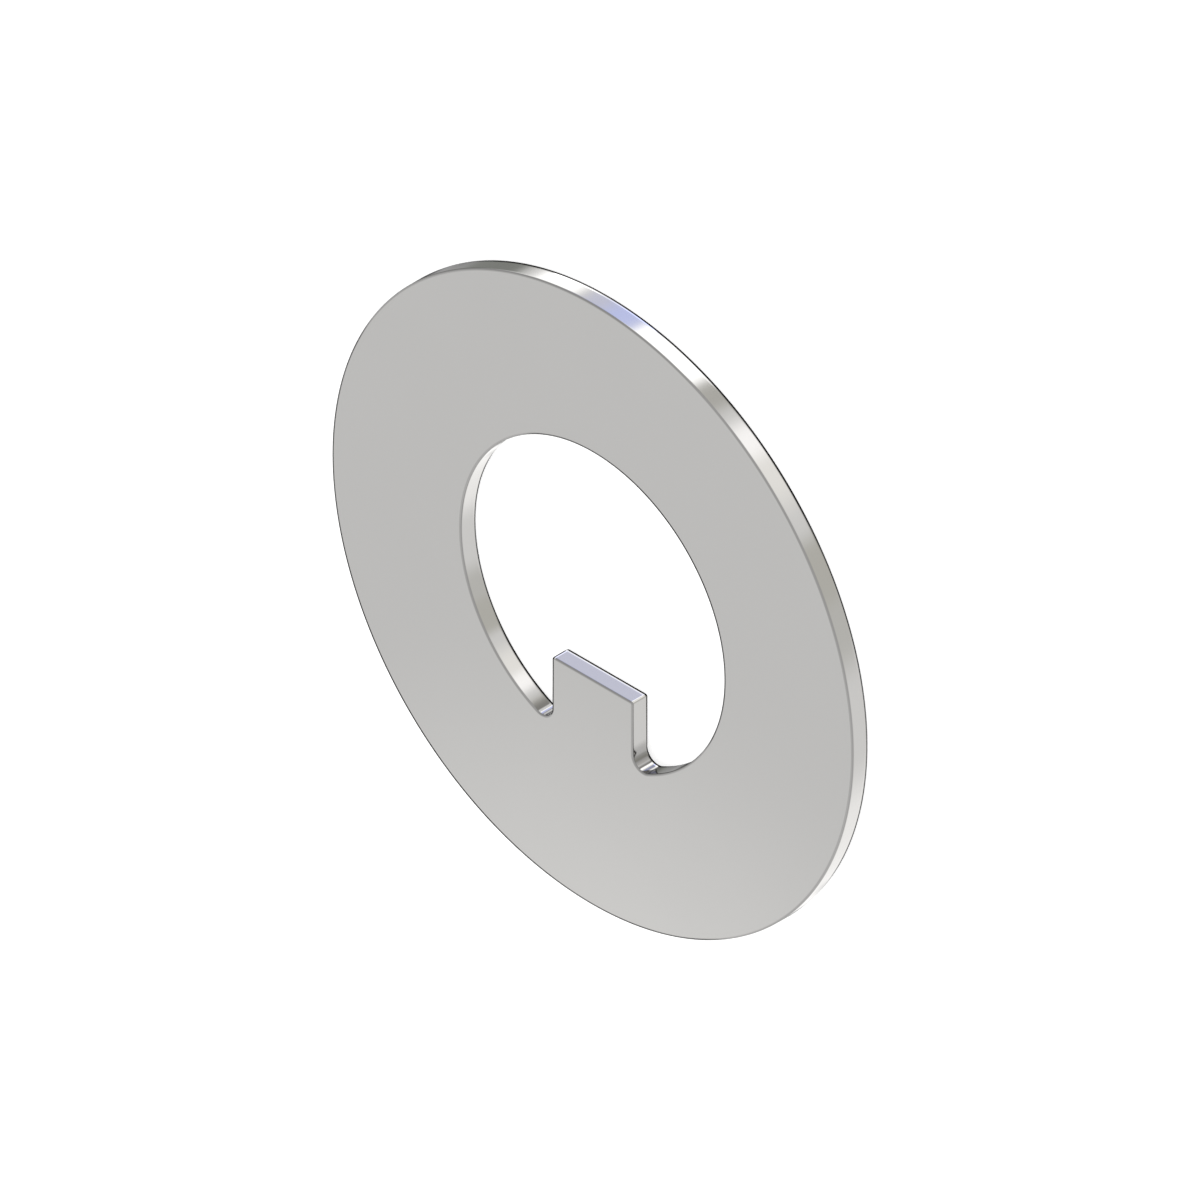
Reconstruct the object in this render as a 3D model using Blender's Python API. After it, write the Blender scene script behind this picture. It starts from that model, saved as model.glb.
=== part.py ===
"""Lock plate: a flat steel ring with one square-ended tab that points to the centre of its bore.

The plate lies on the XY plane. The bore's axis is the Z axis, and the tab is on the -Y side.
"""

import math

import bmesh
import bpy
from mathutils import Vector

# Driving dimensions, in metres
OUTER_DIAMETER = 0.040
BORE_DIAMETER = 0.0202
THICKNESS = 0.0012
TAB_WIDTH = 0.0062
TAB_LENGTH = 0.0051
TAB_CORNER_RADIUS = 0.00017
ROOT_FILLET_RADIUS = 0.0008
EDGE_ROUND_RADIUS = 0.00013

# Straight steps that stand for each curve, on half of the plate where it is mirrored
RIM_STEPS = 108
BORE_STEPS = 72
FILLET_STEPS = 10
CORNER_STEPS = 4
EDGE_ROUND_STEPS = 3

# Two halves meet on the plane of symmetry within this distance
SEAM_TOLERANCE = 0.00001

# Bright cold-rolled steel
STEEL_COLOUR = (0.56, 0.55, 0.54, 1.0)
STEEL_ROUGHNESS = 0.2
STEEL_METALLIC = 1.0


def clear_scene():
    """Take away whatever objects the open file holds."""
    for existing in list(bpy.data.objects):
        bpy.data.objects.remove(existing, do_unlink=True)


def steel():
    """The plate's bright bare steel."""
    material = bpy.data.materials.new("steel")
    material.use_nodes = True
    shader = material.node_tree.nodes["Principled BSDF"]
    shader.inputs["Base Color"].default_value = STEEL_COLOUR
    shader.inputs["Metallic"].default_value = STEEL_METALLIC
    shader.inputs["Roughness"].default_value = STEEL_ROUGHNESS
    return material


def arc(centre, radius, start, end, steps):
    """Points along an arc in the plate's plane, both ends included."""
    angles = [start + (end - start) * step / steps for step in range(steps + 1)]
    return [centre + radius * Vector((math.cos(angle), math.sin(angle))) for angle in angles]


def half_outline():
    """The +X half of the plate's outline: up the rim, down the bore and out along the tab.

    The root fillet touches the tab's flank and the bore's wall, so its centre lies one fillet
    radius from each.
    """
    axis = Vector((0.0, 0.0))
    bore_radius = BORE_DIAMETER / 2
    flank_x = TAB_WIDTH / 2
    tip_y = TAB_LENGTH - bore_radius

    fillet_x = flank_x + ROOT_FILLET_RADIUS
    fillet_y = -math.sqrt((bore_radius - ROOT_FILLET_RADIUS) ** 2 - fillet_x ** 2)
    fillet_centre = Vector((fillet_x, fillet_y))
    fillet_end = math.atan2(fillet_y, fillet_x)
    corner_centre = Vector((flank_x - TAB_CORNER_RADIUS, tip_y - TAB_CORNER_RADIUS))

    rim = arc(axis, OUTER_DIAMETER / 2, -math.pi / 2, math.pi / 2, RIM_STEPS)
    bore = arc(axis, bore_radius, math.pi / 2, fillet_end, BORE_STEPS)
    fillet = arc(fillet_centre, ROOT_FILLET_RADIUS, fillet_end, -math.pi, FILLET_STEPS)
    corner = arc(corner_centre, TAB_CORNER_RADIUS, 0.0, math.pi / 2, CORNER_STEPS)
    tip_middle = [Vector((0.0, tip_y))]
    return rim + bore + fillet[1:] + corner + tip_middle


def half_sheet(name):
    """A flat face with the half outline, its normal up."""
    sheet = bmesh.new()
    sheet.faces.new([sheet.verts.new((x, y, 0.0)) for x, y in half_outline()])
    mesh = bpy.data.meshes.new(name)
    sheet.to_mesh(mesh)
    sheet.free()
    mesh.shade_smooth()
    return mesh


def make_lock_plate():
    """Mirror the half sheet, thicken it upwards and round the edges of both faces."""
    plate = bpy.data.objects.new("lock_plate", half_sheet("lock_plate"))
    bpy.context.collection.objects.link(plate)
    plate.data.materials.append(steel())

    mirror = plate.modifiers.new("other_half", "MIRROR")
    mirror.merge_threshold = SEAM_TOLERANCE
    mirror.use_clip = True

    thickness = plate.modifiers.new("thickness", "SOLIDIFY")
    thickness.thickness = THICKNESS
    thickness.offset = 1.0

    edges = plate.modifiers.new("edge_round", "BEVEL")
    edges.width = EDGE_ROUND_RADIUS
    edges.segments = EDGE_ROUND_STEPS
    edges.limit_method = "ANGLE"
    edges.angle_limit = math.radians(60.0)
    edges.use_clamp_overlap = False

    normals = plate.modifiers.new("flat_faces", "WEIGHTED_NORMAL")
    normals.keep_sharp = True
    return plate


clear_scene()
make_lock_plate()
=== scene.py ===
"""Looks of the lock plate: bright sheet steel on a white studio floor, seen as in the photo."""

import math

import bmesh
import bpy
from mathutils import Matrix, Vector


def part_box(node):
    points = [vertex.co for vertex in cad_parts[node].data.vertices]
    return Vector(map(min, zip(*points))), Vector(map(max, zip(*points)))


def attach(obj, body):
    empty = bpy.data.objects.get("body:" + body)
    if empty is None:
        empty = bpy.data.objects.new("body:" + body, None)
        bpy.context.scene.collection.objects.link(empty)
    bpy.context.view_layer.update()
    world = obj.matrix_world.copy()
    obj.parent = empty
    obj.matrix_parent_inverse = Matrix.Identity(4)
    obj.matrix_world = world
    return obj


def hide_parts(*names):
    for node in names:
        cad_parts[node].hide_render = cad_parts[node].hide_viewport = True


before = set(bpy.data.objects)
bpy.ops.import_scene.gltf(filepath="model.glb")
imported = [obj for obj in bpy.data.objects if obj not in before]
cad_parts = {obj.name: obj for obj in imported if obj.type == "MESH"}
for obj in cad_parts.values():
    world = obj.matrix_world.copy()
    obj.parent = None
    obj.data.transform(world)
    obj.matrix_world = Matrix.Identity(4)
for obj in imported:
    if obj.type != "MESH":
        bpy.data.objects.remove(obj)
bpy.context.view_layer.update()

# Sizes of the plate, in metres; the outer diameter and the faces' heights come from the frame
plate_low, plate_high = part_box("lock_plate")
OUTER_RADIUS = (plate_high.x - plate_low.x) / 2
BORE_RADIUS = 0.0101
TAB_WIDTH = 0.0062
TAB_LENGTH = 0.0051
TAB_CORNER_RADIUS = 0.00017
ROOT_FILLET_RADIUS = 0.0008
EDGE_ROUND_RADIUS = 0.0001

# The stamping rolls the lower edge far up the wall and a little in over the face
LOWER_ROLL_WIDTH = 0.00007
LOWER_ROLL_HEIGHT = 0.00030

# The tab's corner stays at least this round where the outline is moved into the steel
SHARPEST_CORNER = 0.00001

# Straight steps that stand for each curve on half of the plate
RIM_STEPS = 360
BORE_STEPS = 240
FILLET_STEPS = 40
CORNER_STEPS = 12
EDGE_ROUND_STEPS = 12

# Two halves meet on the plane of symmetry within this distance
SEAM_TOLERANCE = 0.000001

# The photo's frame: an isometric view without perspective, with the face's centre at this pixel
PHOTO_SIDE = 1200
PIXELS_PER_METRE = 18415
FACE_CENTRE_PIXEL = Vector((592.15, 604.6))
VIEW_RIGHT = Vector((1, 0, -1)).normalized()
VIEW_UP = Vector((-1, 2, -1)).normalized()
VIEW_BACK = Vector((1, 1, 1)).normalized()
CAMERA_DISTANCE = 0.3
CAMERA_CLIP_START = 0.003
CAMERA_CLIP_END = 6.0

WHITE = (1.0, 1.0, 1.0, 1.0)
BLACK = (0.0, 0.0, 0.0, 1.0)

# A painted shade: how much darker the steel is painted on the upper round, standing in for a darker
# reflection there. It comes in over the first tilts of the round, eases to a share over the last
# ones and fades out on the face
EDGE_SHADE = 0.32
FIRST_TILTS = (-10, 15)
LAST_TILTS = (60, 90)
FACE_EDGE_SHARE = 0.7
FACE_FADE = 0.00005

# Extra points this far from the round, on face and wall, keep its painted shade from spreading
FACE_MARGINS = (0.00014, 0.00011, 0.000085, 0.00006, 0.00003)
WALL_MARGIN = 0.00004

# A painted dark line, a painted shade, lies on the edges that make the outline in the camera's
# view along VIEW_BACK, and is this wide there. It is wider on walls that face +Y and mirror white,
# and it ends above the lower face
OUTLINE_SHADE = 0.9
OUTLINE_WIDTH = 0.000066
OUTLINE_FADE = 0.000012
WIDER_OUTLINE = 1.35
WIDER_FACINGS = (0.85, 0.93)
LOWER_FACE_MARGIN = 0.00001

# A wall's lean tells how far it faces towards the view or away from it. The painted line is missing
# where the wall is edge-on, and full only where it leans most
LINE_LEANS = (0.1, 0.3)
FULL_LINE_LEANS = (0.6, 0.8)
FAINT_LINE = 0.82

# The tip lies this near the bore's axis. Its wall is painted dark all over where it leans less than
# this, which is round its left corner
TIP_ZONE_RADIUS = BORE_RADIUS - 0.7 * TAB_LENGTH
DARK_TIP_LEAN = 0.57

# A painted highlight: walls that face +Y are painted bright beside the line, and so is the tip
# beside its left corner
SHINE_FACING = 0.98
SHINE_WIDTH = 0.000035
CORNER_SHINE_START = 0.00003
CORNER_SHINE_END = (0.00008, 0.0001)
TIP_MARGINS = (0.00001, CORNER_SHINE_START, *CORNER_SHINE_END)

# Painted shade in the root fillets reaches a little past their arcs, and the flank has extra points
# for it. A glint, where the painted shade gives way, crosses each; headings are in degrees from +X
# towards +Y
ROOT_SHADE = 0.65
ROOT_REACH = (-0.0001, 0.00022)
FLANK_MARGINS = (0.0001, 0.0002, 0.0003, 0.00045, 0.0006, 0.0008)
FLANK_HEADINGS = (0, 35)
RIGHT_ROOT = {
    "glint": 72,
    "glint_border": (1, 7),
    "fading_headings": (76, 112),
    "faded_share": 0.5,
    "flank_share": 0.6,
}
LEFT_ROOT = {
    "glint": 84,
    "glint_border": (4, 8),
    "fading_headings": (102, 112),
    "faded_share": 0.0,
    "flank_share": 1.0,
}

# The steel: a grain drawn out along X by the rolling, and soft clouds of roughness
STEEL_COLOUR = (0.566, 0.56, 0.549, 1.0)
GRAIN_SHADE = 0.02
GRAIN_SCALE = (900.0, 9000.0, 900.0)
GRAIN_DETAIL = 3.0
CLOUD_SCALE = 160.0
CLOUD_DETAIL = 2.0
ROUGHNESS_RANGE = (0.09, 0.13)

# The studio that the steel mirrors. Headings and widths are in degrees, from +X towards +Y. Each
# panel is plain to half its width from its middle, then fades over its border. The low panels lie
# below the horizon, where the walls mirror them in the photo's view
LOW_TONE = (1.03, 1.025, 1.02, 1.0)
LOW_PANELS = (
    {"heading": 268, "half_width": 22, "border": 24, "colour": (1.36, 1.35, 1.34)},
    {"heading": 2, "half_width": 8, "border": 16, "colour": (0.79, 0.785, 0.755)},
    {"heading": 18, "half_width": 7, "border": 8, "colour": (0.73, 0.72, 0.67)},
    {"heading": 54, "half_width": 4, "border": 16, "colour": (1.32, 1.30, 1.26)},
    {"heading": 65, "half_width": 2, "border": 8, "colour": (1.68, 1.66, 1.66)},
    {"heading": 84, "half_width": 3, "border": 6, "colour": (0.68, 0.67, 0.63)},
    {"heading": 104, "half_width": 12, "border": 5, "colour": (2.1, 2.1, 2.1)},
    {"heading": 129, "half_width": 8, "border": 5, "colour": (0.91, 0.93, 1.13)},
    {"heading": 124, "half_width": 2, "border": 8, "colour": (0.85, 0.93, 1.42)},
    {"heading": 152, "half_width": 6, "border": 6, "colour": (2.0, 2.0, 2.0)},
    {"heading": 184, "half_width": 12, "border": 8, "colour": (0.30, 0.31, 0.29)},
    {"heading": 206, "half_width": 8, "border": 8, "colour": (0.42, 0.42, 0.42)},
)
WALL_TONE = (0.885, 0.885, 0.885, 1.0)
WALL_PANELS = (
    {"heading": 45, "half_width": 45, "border": 35, "colour": (0.80, 0.80, 0.80)},
    {"heading": 145, "half_width": 25, "border": 30, "colour": (0.64, 0.64, 0.64)},
    {"heading": 272, "half_width": 10, "border": 25, "colour": (1.05, 1.05, 1.05)},
)
DARK_COLUMN = {"heading": 223, "half_width": 4, "border": 12, "colour": (0.02, 0.02, 0.02)}
DARK_GROUND = {"heading": 130, "half_width": 90, "border": 30, "colour": (0.04, 0.04, 0.04)}
CEILING_TONE = (0.80, 0.80, 0.79, 1.0)
GROUND_TONE = (0.08, 0.08, 0.08, 1.0)

# The studio's borders from one zone to the next, as elevations in degrees
LOW_TO_WALL = (-22.0, -4.0)
COLUMN_TOP = (20.0, 31.0)
WALL_TO_CEILING = (58.0, 75.0)
LOW_TO_GROUND = (-54.0, -64.0)
LOW_TO_DARK_GROUND = (-43.0, -53.0)

# The studio is darker where one part of the steel mirrors another, past this glossy depth
DEEP_SHADE = 0.3
DEEP_RAY = 1.5

# The floor's own light whitens it for the camera alone
FLOOR_HALF_WIDTH = 1.0
FLOOR_COLOUR = (0.8, 0.8, 0.8, 1.0)
FLOOR_WHITENING = 0.56

# A soft panel hung level over the plate. Its brightest spot is mirrored just past the rim below the
# tab, and it fades out towards the bore
SOFT_PANEL_HEIGHT = 0.08
SOFT_PANEL_HALF_WIDTH = 0.045
SOFT_PANEL_SPOT = Vector((0.006, -0.042))
SOFT_PANEL_REACH = 0.0385
SOFT_PANEL_STRENGTH = 0.44
SOFT_PANEL_COLOUR = (1.0, 0.99, 0.97, 1.0)


def ramp(value, start, end):
    """0 where value is at or before start, 1 where it is at or past end, smooth between."""
    share = min(max((value - start) / (end - start), 0.0), 1.0)
    return share * share * (3 - 2 * share)


def blend(first, second, share):
    """The value first, or second where share is 1."""
    return first + (second - first) * share


def arc(centre, radius, start, end, steps):
    """Points along an arc in the plate's plane, both ends included."""
    angles = [start + (end - start) * step / steps for step in range(steps + 1)]
    return [centre + radius * Vector((math.cos(angle), math.sin(angle))) for angle in angles]


def fillet_centre():
    """The centre of the fillet between the tab's right flank and the bore, one radius from each."""
    across = TAB_WIDTH / 2 + ROOT_FILLET_RADIUS
    reach = BORE_RADIUS - ROOT_FILLET_RADIUS
    return Vector((across, -math.sqrt(reach ** 2 - across ** 2)))


def half_outline(inset):
    """The +X half of the outline, moved into the steel by the inset.

    It goes up the rim, then down the bore, through the root fillet and round the tab's corner.
    """
    axis = Vector((0.0, 0.0))
    bore_radius = BORE_RADIUS + inset
    fillet_radius = ROOT_FILLET_RADIUS + inset
    corner_radius = max(TAB_CORNER_RADIUS - inset, SHARPEST_CORNER)
    flank_x = TAB_WIDTH / 2 - inset
    tip_y = TAB_LENGTH - BORE_RADIUS - inset

    root = fillet_centre()
    fillet_end = math.atan2(root.y, root.x)
    corner_centre = Vector((flank_x - corner_radius, tip_y - corner_radius))

    rim = arc(axis, OUTER_RADIUS - inset, -math.pi / 2, math.pi / 2, RIM_STEPS)
    bore = arc(axis, bore_radius, math.pi / 2, fillet_end, BORE_STEPS)
    fillet = arc(root, fillet_radius, fillet_end, -math.pi, FILLET_STEPS)
    flank = [Vector((flank_x, root.y + margin)) for margin in FLANK_MARGINS]
    corner = arc(corner_centre, corner_radius, 0.0, math.pi / 2, CORNER_STEPS)
    tip = [Vector((corner_centre.x - margin, tip_y)) for margin in TIP_MARGINS]
    tip_middle = [Vector((0.0, tip_y))]
    return rim, bore + fillet[1:] + flank + corner + tip + tip_middle


def roll(width, height):
    """Places on a quarter of an ellipse from the wall to the face.

    Each has its inset, its distance from the face and the tilt of its normal in degrees: 0 on the
    wall, 90 on the face.
    """
    places = []
    for step in range(EDGE_ROUND_STEPS + 1):
        turn = math.pi / 2 * step / EDGE_ROUND_STEPS
        tilt = math.degrees(math.atan2(width * math.sin(turn), height * math.cos(turn)))
        places.append((width * (1 - math.cos(turn)), height * (1 - math.sin(turn)), tilt))
    return places


def edge_section():
    """Places across the edge from the upper face to the lower one.

    Each has its inset, its height and how much darker the round is painted there than the faces.
    """
    section = []
    for margin in FACE_MARGINS:
        shade = EDGE_SHADE * FACE_EDGE_SHARE * (1 - ramp(margin, 0.0, FACE_FADE))
        section.append((EDGE_ROUND_RADIUS + margin, plate_high.z, shade))
    for inset, drop, tilt in reversed(roll(EDGE_ROUND_RADIUS, EDGE_ROUND_RADIUS)):
        eased = (1 - FACE_EDGE_SHARE) * ramp(tilt, *LAST_TILTS)
        shade = EDGE_SHADE * (ramp(tilt, *FIRST_TILTS) - eased)
        section.append((inset, plate_high.z - drop, shade))
    section.append((0.0, plate_high.z - EDGE_ROUND_RADIUS - WALL_MARGIN, 0.0))
    for inset, drop, tilt in roll(LOWER_ROLL_WIDTH, LOWER_ROLL_HEIGHT):
        section.append((inset, plate_low.z + drop, 0.0))
    return section


def outline_distance(outward, inset, height):
    """How far inside the edge's outline a place on it is seen in the photo's view.

    The outward direction is the wall's. Both edges count as round by the upper edge's radius.
    """
    across = Vector((VIEW_BACK.z, -VIEW_BACK.xy.dot(outward))).normalized()
    upper_centre = Vector((-EDGE_ROUND_RADIUS, plate_high.z - EDGE_ROUND_RADIUS))
    lower_centre = Vector((-EDGE_ROUND_RADIUS, plate_low.z + EDGE_ROUND_RADIUS))
    reach = max(across.dot(upper_centre), across.dot(lower_centre)) + EDGE_ROUND_RADIUS
    return reach - across.dot(Vector((-inset, height)))


def line_width(outward):
    """The width of the outline's painted dark line on a wall."""
    return OUTLINE_WIDTH * blend(1.0, WIDER_OUTLINE, ramp(outward.y, *WIDER_FACINGS))


def line_share(place, outward, inset, height):
    """How much of the outline's painted dark line is at a place."""
    if height < plate_low.z + LOWER_FACE_MARGIN:
        return 0.0
    lean = abs(VIEW_BACK.xy.dot(outward))
    on_tip = place.length < TIP_ZONE_RADIUS
    if on_tip and inset < EDGE_ROUND_RADIUS and lean < DARK_TIP_LEAN:
        return 1.0
    distance = outline_distance(outward, inset, height)
    width = line_width(outward)
    line = 1.0 - ramp(distance, width - OUTLINE_FADE, width + OUTLINE_FADE)
    if on_tip:
        return line
    return line * ramp(lean, *LINE_LEANS) * blend(FAINT_LINE, 1.0, ramp(lean, *FULL_LINE_LEANS))


def shine_share(place, outward, inset, height):
    """How much of the painted bright line, a painted highlight, is at a place."""
    if outward.y < SHINE_FACING or inset > EDGE_ROUND_RADIUS / 2:
        return 0.0
    distance = outline_distance(outward, inset, height) - line_width(outward)
    along_edge = ramp(distance, 0.0, OUTLINE_FADE) - ramp(distance, SHINE_WIDTH, SHINE_WIDTH * 2)
    at_corner = 0.0
    if place.length < BORE_RADIUS and place.x < 0 and distance > 0:
        beside = TAB_WIDTH / 2 - TAB_CORNER_RADIUS + place.x
        at_corner = ramp(beside, 0.0, CORNER_SHINE_START) - ramp(beside, *CORNER_SHINE_END)
    return max(along_edge, at_corner)


def root_share(place, outward, inset):
    """How much of the painted shade in the tab's root fillets is at a place."""
    root = RIGHT_ROOT if place.x > 0 else LEFT_ROOT
    away = (Vector((abs(place.x), place.y)) - fillet_centre()).length - ROOT_FILLET_RADIUS
    on_wall = max(1 - inset / EDGE_ROUND_RADIUS, 0.0)
    heading = math.degrees(math.atan2(outward.y, outward.x))
    dark = ramp(abs(heading - root["glint"]), *root["glint_border"])
    dark *= blend(1.0, root["faded_share"], ramp(heading, *root["fading_headings"]))
    dark *= blend(root["flank_share"], 1.0, ramp(heading, *FLANK_HEADINGS))
    return on_wall * dark * (1 - ramp(away, *ROOT_REACH))


def outward_directions(chain):
    """The direction out of the steel at each point of a chain that has the steel on its left."""
    directions = []
    for before, after in zip(chain[:1] + chain, chain[1:] + chain[-1:]):
        along = (after - before).normalized()
        directions.append(Vector((along.y, -along.x)))
    return directions


def add_half(shell, side):
    """The plate's half on the +X side, or its mirror image where side is -1."""
    painted_edge_shade = shell.verts.layers.float["painted_edge_shade"]
    painted_highlight = shell.verts.layers.float["painted_highlight"]
    rings = []
    for inset, height, round_shade in edge_section():
        ring = []
        for chain in half_outline(inset):
            points = []
            for place, outward in zip(chain, outward_directions(chain)):
                place = Vector((side * place.x, place.y))
                outward = Vector((side * outward.x, outward.y))
                point = shell.verts.new((place.x, place.y, height))
                # Each point gets its painted shade, from the round, the outline's line and the root
                # fillet, and its painted highlight
                line = line_share(place, outward, inset, height)
                root = root_share(place, outward, inset)
                point[painted_edge_shade] = max(round_shade, OUTLINE_SHADE * line, ROOT_SHADE * root)
                point[painted_highlight] = shine_share(place, outward, inset, height)
                points.append(point)
            ring.append(points)
        rings.append(ring)

    upper_face = rings[0][0] + rings[0][1]
    lower_face = rings[-1][0] + rings[-1][1]
    faces = [upper_face, lower_face[::-1]]
    for upper_ring, lower_ring in zip(rings, rings[1:]):
        for upper, lower in zip(upper_ring, lower_ring):
            faces += [corners[::-1] for corners in zip(upper, upper[1:], lower[1:], lower)]
    for corners in faces:
        shell.faces.new(corners[::side])


def make_plate():
    """The plate in fine steps, with rounded edges and the painted shade and painted highlight of
    its points.
    """
    shell = bmesh.new()
    shell.verts.layers.float.new("painted_edge_shade")
    shell.verts.layers.float.new("painted_highlight")
    for side in (1, -1):
        add_half(shell, side)
    bmesh.ops.remove_doubles(shell, verts=shell.verts, dist=SEAM_TOLERANCE)
    mesh = bpy.data.meshes.new("steel_plate")
    shell.to_mesh(mesh)
    shell.free()
    mesh.shade_smooth()
    plate = bpy.data.objects.new("steel_plate", mesh)
    bpy.context.scene.collection.objects.link(plate)

    normals = plate.modifiers.new("flat_faces", "WEIGHTED_NORMAL")
    normals.keep_sharp = True
    return plate


class Nodes:
    """Adds nodes to one tree, with values or links for their inputs."""

    def __init__(self, tree):
        self.tree = tree

    def add(self, kind, inputs=(), **settings):
        """A node whose inputs, by name or place, are set to values or linked to sockets."""
        node = self.tree.nodes.new(kind)
        for setting, value in settings.items():
            setattr(node, setting, value)
        for place, value in dict(inputs).items():
            self.feed(node.inputs[place], value)
        return node

    def feed(self, socket, value):
        """Link a socket's value to an input, or set the input to a plain value."""
        if isinstance(value, bpy.types.NodeSocket):
            self.tree.links.new(value, socket)
        else:
            socket.default_value = value

    def math(self, operation, *values):
        """The result of a math node on values or sockets."""
        return self.add("ShaderNodeMath", enumerate(values), operation=operation).outputs[0]

    def fade(self, value, start, end):
        """0 where value is at or before start, 1 where it is at or past end, smooth between."""
        inputs = {"Value": value, "From Min": start, "From Max": end}
        return self.add("ShaderNodeMapRange", inputs, interpolation_type="SMOOTHSTEP").outputs[0]

    def span(self, value, low, high):
        """A range from 0 to 1 spread over the values from low to high."""
        inputs = {"Value": value, "To Min": low, "To Max": high}
        return self.add("ShaderNodeMapRange", inputs).outputs[0]

    def mix(self, share, first, second):
        """The colour first, or second where share is 1."""
        node = self.add("ShaderNodeMix", data_type="RGBA")
        for name, value in (("Factor_Float", share), ("A_Color", first), ("B_Color", second)):
            self.feed(next(s for s in node.inputs if s.identifier == name), value)
        return next(s for s in node.outputs if s.identifier == "Result_Color")


def steel_material():
    """Bright steel with a faint rolled grain, darkened by the mesh's painted shade and whitened by
    its painted highlight.
    """
    material = bpy.data.materials.new("bright_steel")
    material.use_nodes = True
    nodes = Nodes(material.node_tree)
    shader = material.node_tree.nodes["Principled BSDF"]
    place = nodes.add("ShaderNodeTexCoord").outputs["Object"]
    shade = nodes.add("ShaderNodeAttribute", attribute_name="painted_edge_shade").outputs["Fac"]
    shine = nodes.add("ShaderNodeAttribute", attribute_name="painted_highlight").outputs["Fac"]

    along_rolling = nodes.add("ShaderNodeMapping", {"Vector": place, "Scale": GRAIN_SCALE})
    grain_inputs = {"Vector": along_rolling.outputs[0], "Scale": 1.0, "Detail": GRAIN_DETAIL}
    grain = nodes.add("ShaderNodeTexNoise", grain_inputs).outputs[0]
    cloud_inputs = {"Vector": place, "Scale": CLOUD_SCALE, "Detail": CLOUD_DETAIL}
    cloud = nodes.add("ShaderNodeTexNoise", cloud_inputs).outputs[0]
    uneven = nodes.math("MULTIPLY", nodes.math("MULTIPLY", grain, cloud), GRAIN_SHADE)

    # The painted shade darkens the colour and the mirror's edge tint; the painted highlight whitens
    # the colour
    colour = nodes.mix(nodes.math("ADD", shade, uneven), STEEL_COLOUR, BLACK)
    nodes.feed(shader.inputs["Metallic"], 1.0)
    nodes.feed(shader.inputs["Base Color"], nodes.mix(shine, colour, WHITE))
    nodes.feed(shader.inputs["Specular Tint"], nodes.mix(shade, WHITE, BLACK))
    nodes.feed(shader.inputs["Roughness"], nodes.span(cloud, *ROUGHNESS_RANGE))
    return material


def panel_share(nodes, heading, panel):
    """How much of a panel shows at a heading."""
    off = nodes.math("SUBTRACT", heading, float(panel["heading"]))
    off = nodes.math("ABSOLUTE", nodes.math("WRAP", off, 180.0, -180.0))
    inside = float(panel["half_width"])
    return nodes.math("SUBTRACT", 1.0, nodes.fade(off, inside, inside + panel["border"]))


def panel_ring(nodes, heading, tone, panels):
    """The colour at a heading of a plain ring with panels in front of it."""
    for panel in panels:
        tone = nodes.mix(panel_share(nodes, heading, panel), tone, (*panel["colour"], 1.0))
    return tone


def studio_colour(nodes):
    """The studio's colour in the direction that a ray goes."""
    direction = nodes.add("ShaderNodeTexCoord").outputs["Generated"]
    x, y, z = nodes.add("ShaderNodeSeparateXYZ", {0: direction}).outputs
    heading = nodes.math("DEGREES", nodes.math("ARCTAN2", y, x))
    elevation = nodes.math("DEGREES", nodes.math("ARCSINE", z))

    low = panel_ring(nodes, heading, LOW_TONE, LOW_PANELS)
    wall = panel_ring(nodes, heading, WALL_TONE, WALL_PANELS)
    studio = nodes.mix(nodes.fade(elevation, *LOW_TO_WALL), low, wall)

    below_top = nodes.math("SUBTRACT", 1.0, nodes.fade(elevation, *COLUMN_TOP))
    column = nodes.math("MULTIPLY", panel_share(nodes, heading, DARK_COLUMN), below_top)
    studio = nodes.mix(column, studio, (*DARK_COLUMN["colour"], 1.0))
    studio = nodes.mix(nodes.fade(elevation, *WALL_TO_CEILING), studio, CEILING_TONE)
    studio = nodes.mix(nodes.fade(elevation, *LOW_TO_GROUND), studio, GROUND_TONE)

    near_ground = nodes.fade(elevation, *LOW_TO_DARK_GROUND)
    near_ground = nodes.math("MULTIPLY", near_ground, panel_share(nodes, heading, DARK_GROUND))
    return nodes.mix(near_ground, studio, (*DARK_GROUND["colour"], 1.0))


def make_world():
    """A studio that only mirrors see; the camera sees white, and the floor an even light."""
    world = bpy.data.worlds.new("studio")
    world.use_nodes = True
    bpy.context.scene.world = world
    world.node_tree.nodes.clear()
    nodes = Nodes(world.node_tree)

    rays = nodes.add("ShaderNodeLightPath")
    deep = nodes.math("GREATER_THAN", rays.outputs["Glossy Depth"], DEEP_RAY)
    studio = nodes.mix(nodes.math("MULTIPLY", deep, DEEP_SHADE), studio_colour(nodes), BLACK)
    mirrored = nodes.add("ShaderNodeBackground", {"Color": studio, "Strength": 1.0})
    plain = nodes.add("ShaderNodeBackground", {"Color": WHITE, "Strength": 1.0})
    is_mirrored = rays.outputs["Is Glossy Ray"]
    shown_inputs = {0: is_mirrored, 1: plain.outputs[0], 2: mirrored.outputs[0]}
    shown = nodes.add("ShaderNodeMixShader", shown_inputs)
    nodes.add("ShaderNodeOutputWorld", {"Surface": shown.outputs[0]})


def flat_sheet(name, half_width, middle):
    """A level square sheet."""
    sheet = bmesh.new()
    bmesh.ops.create_grid(sheet, x_segments=1, y_segments=1, size=half_width)
    mesh = bpy.data.meshes.new(name)
    sheet.to_mesh(mesh)
    sheet.free()
    made = bpy.data.objects.new(name, mesh)
    made.location = middle
    bpy.context.scene.collection.objects.link(made)
    return made


def bare_material(name):
    """A material without nodes, and what adds them."""
    material = bpy.data.materials.new(name)
    material.use_nodes = True
    material.node_tree.nodes.clear()
    return material, Nodes(material.node_tree)


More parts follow.
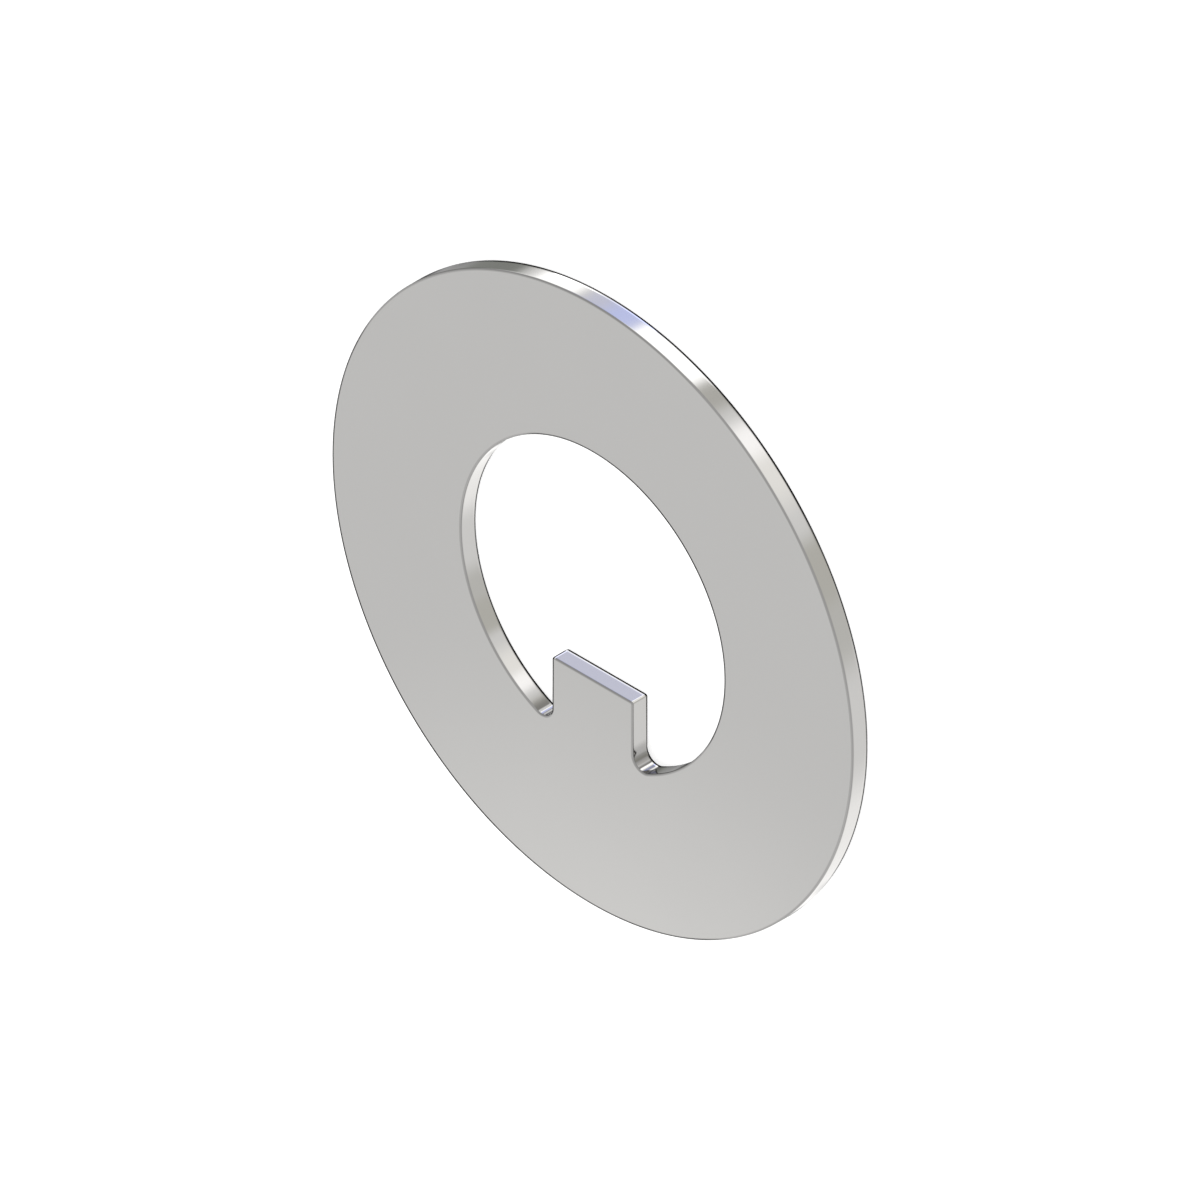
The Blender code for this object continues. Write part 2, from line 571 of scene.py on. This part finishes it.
def make_floor():
    """A white floor that keeps the plate's soft shadow, unseen by mirrors."""
    floor = flat_sheet("floor", FLOOR_HALF_WIDTH, (0.0, 0.0, 0.0))
    floor.visible_glossy = False
    material, nodes = bare_material("white_floor")
    seen = nodes.add("ShaderNodeLightPath").outputs["Is Camera Ray"]
    strength = nodes.math("MULTIPLY", seen, FLOOR_WHITENING)
    lit = nodes.add("ShaderNodeBsdfDiffuse", {"Color": FLOOR_COLOUR})
    glow = nodes.add("ShaderNodeEmission", {"Color": WHITE, "Strength": strength})
    both = nodes.add("ShaderNodeAddShader", {0: lit.outputs[0], 1: glow.outputs[0]})
    nodes.add("ShaderNodeOutputMaterial", {"Surface": both.outputs[0]})
    floor.data.materials.append(material)
    return floor


def make_soft_panel():
    """The panel whose glow the face mirrors in the photo's view; it lights nothing else.

    A ray of that view leaves the face as far along -X and -Y as it rises.
    """
    spot_x = SOFT_PANEL_SPOT.x - SOFT_PANEL_HEIGHT
    spot_y = SOFT_PANEL_SPOT.y - SOFT_PANEL_HEIGHT
    middle = (spot_x, spot_y, plate_high.z + SOFT_PANEL_HEIGHT)
    panel = flat_sheet("soft_panel", SOFT_PANEL_HALF_WIDTH, middle)
    panel.visible_camera = False
    panel.visible_diffuse = False
    panel.visible_shadow = False
    material, nodes = bare_material("soft_glow")
    place = nodes.add("ShaderNodeTexCoord").outputs["Object"]
    distance = nodes.add("ShaderNodeVectorMath", {0: place}, operation="LENGTH").outputs["Value"]
    share = nodes.math("DIVIDE", distance, SOFT_PANEL_REACH)
    share = nodes.math("SUBTRACT", 1.0, nodes.math("MINIMUM", share, 1.0))
    strength = nodes.math("MULTIPLY", share, SOFT_PANEL_STRENGTH)
    clear = nodes.add("ShaderNodeBsdfTransparent")
    glow = nodes.add("ShaderNodeEmission", {"Color": SOFT_PANEL_COLOUR, "Strength": strength})
    both = nodes.add("ShaderNodeAddShader", {0: clear.outputs[0], 1: glow.outputs[0]})
    nodes.add("ShaderNodeOutputMaterial", {"Surface": both.outputs[0]})
    panel.data.materials.append(material)
    return panel


def make_camera():
    """The photo's view: the face's centre falls on its pixel, at the photo's scale."""
    data = bpy.data.cameras.new("camera")
    data.type = "ORTHO"
    data.ortho_scale = PHOTO_SIDE / PIXELS_PER_METRE
    data.clip_start = CAMERA_CLIP_START
    data.clip_end = CAMERA_CLIP_END
    camera = bpy.data.objects.new("camera", data)
    bpy.context.scene.collection.objects.link(camera)
    bpy.context.scene.camera = camera

    face_centre = Vector((0.0, 0.0, plate_high.z))
    off_middle = (FACE_CENTRE_PIXEL - Vector((PHOTO_SIDE / 2, PHOTO_SIDE / 2))) / PIXELS_PER_METRE
    target = face_centre - off_middle.x * VIEW_RIGHT + off_middle.y * VIEW_UP
    turn = Matrix((VIEW_RIGHT, VIEW_UP, VIEW_BACK)).transposed()
    camera.matrix_world = Matrix.Translation(target + CAMERA_DISTANCE * VIEW_BACK) @ turn.to_4x4()


plate = make_plate()
plate.data.materials.append(steel_material())
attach(plate, "root")
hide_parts("lock_plate")

make_floor()
make_soft_panel()
make_world()
make_camera()

bpy.context.scene.view_settings.view_transform = "Standard"
